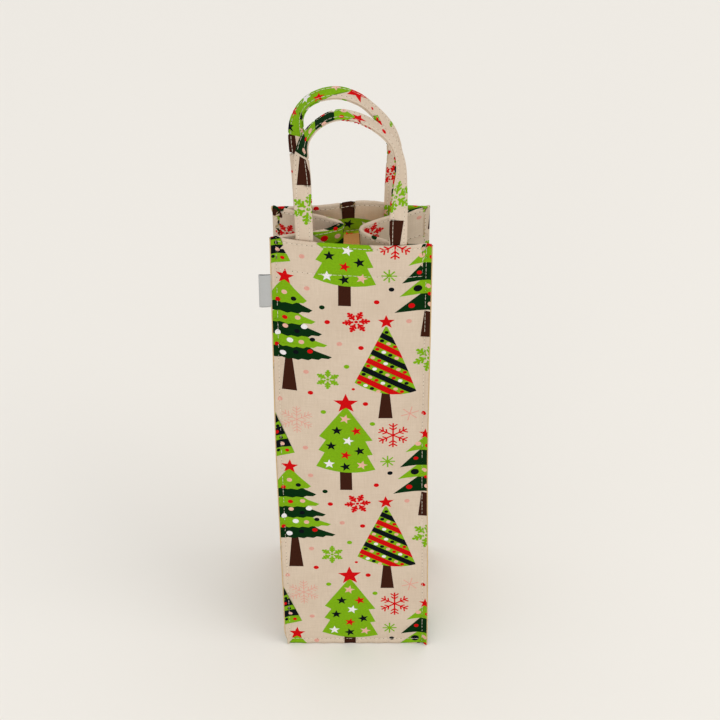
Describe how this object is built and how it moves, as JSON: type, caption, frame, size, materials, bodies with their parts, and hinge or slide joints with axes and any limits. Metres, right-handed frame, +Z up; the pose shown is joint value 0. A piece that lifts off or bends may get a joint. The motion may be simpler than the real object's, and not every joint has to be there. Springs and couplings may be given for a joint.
{
  "type": "wine gift bag",
  "caption": "Tall gusseted bag of printed cotton canvas for one bottle, with pinched seams, a square base and two soft strap handles.",
  "frame": {"origin": "middle of the base, on the surface that the bag stands on", "axes": "+Z up, front of the bag faces -Y, +X to the right seen from the front"},
  "size_m": [0.1083, 0.0946, 0.4309],
  "materials": {
    "printed_canvas": "plain-woven natural cotton canvas with a screen print",
    "thread": "spun cotton sewing thread",
    "label_tape": "woven polyester tape"
  },
  "bodies": {
    "bag": {"base_panel": "printed_canvas", "front_panel": "printed_canvas", "back_panel": "printed_canvas", "left_gusset": "printed_canvas", "right_gusset": "printed_canvas", "front_handle_ends": "printed_canvas", "back_handle_ends": "printed_canvas", "side_label_end": "label_tape", "front_rim_thread": "thread", "front_hem_thread": "thread", "front_base_thread": "thread", "front_corner_threads": "thread", "back_rim_thread": "thread", "back_hem_thread": "thread", "back_base_thread": "thread", "back_corner_threads": "thread"},
    "front_handle": {"front_handle": "printed_canvas", "front_handle_threads": "thread"},
    "back_handle": {"back_handle": "printed_canvas", "back_handle_threads": "thread"},
    "side_label": {"side_label": "label_tape"}
  },
  "joints": [
    {"name": "front_handle_swing", "type": "hinge", "parent": "bag", "child": "front_handle", "pos_m": [0, -0.01674, 0.34075], "axis": [1, 0, 0], "range_deg": [-2, 100]},
    {"name": "back_handle_swing", "type": "hinge", "parent": "bag", "child": "back_handle", "pos_m": [0, 0.01674, 0.34075], "axis": [-1, 0, 0], "range_deg": [-2, 100]},
    {"name": "side_label_flex", "type": "hinge", "parent": "bag", "child": "side_label", "pos_m": [-0.0505, -0.02101, 0.30247], "axis": [0, 0.0824, 0.9966], "range_deg": [-60, 60]}
  ]
}
